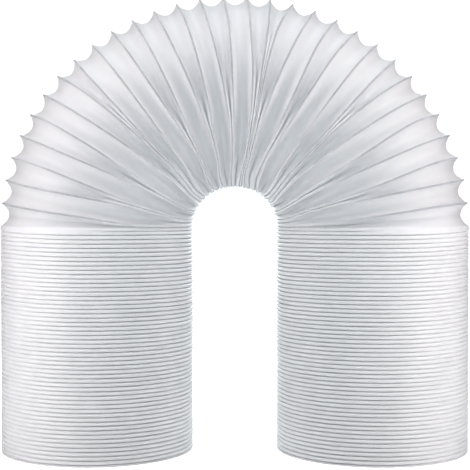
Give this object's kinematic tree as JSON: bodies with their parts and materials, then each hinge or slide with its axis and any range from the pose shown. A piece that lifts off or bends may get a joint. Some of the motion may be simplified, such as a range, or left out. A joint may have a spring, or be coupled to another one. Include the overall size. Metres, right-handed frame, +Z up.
{
  "type": "air conditioner exhaust hose",
  "caption": "Flexible pleated exhaust hose of a portable air conditioner, standing on its two open ends as an arch, legs folded together and bend fanned open.",
  "frame": {"origin": "on the floor, midway between the two legs", "axes": "+X from the left leg to the right leg, +Y from front to back through the arch, +Z up"},
  "size_m": [0.366, 0.1522, 0.3533],
  "materials": {
    "white_polypropylene": "white polypropylene sheet with a satin sheen, slightly translucent"
  },
  "bodies": {
    "root": {"hose": "white_polypropylene"}
  },
  "joints": []
}
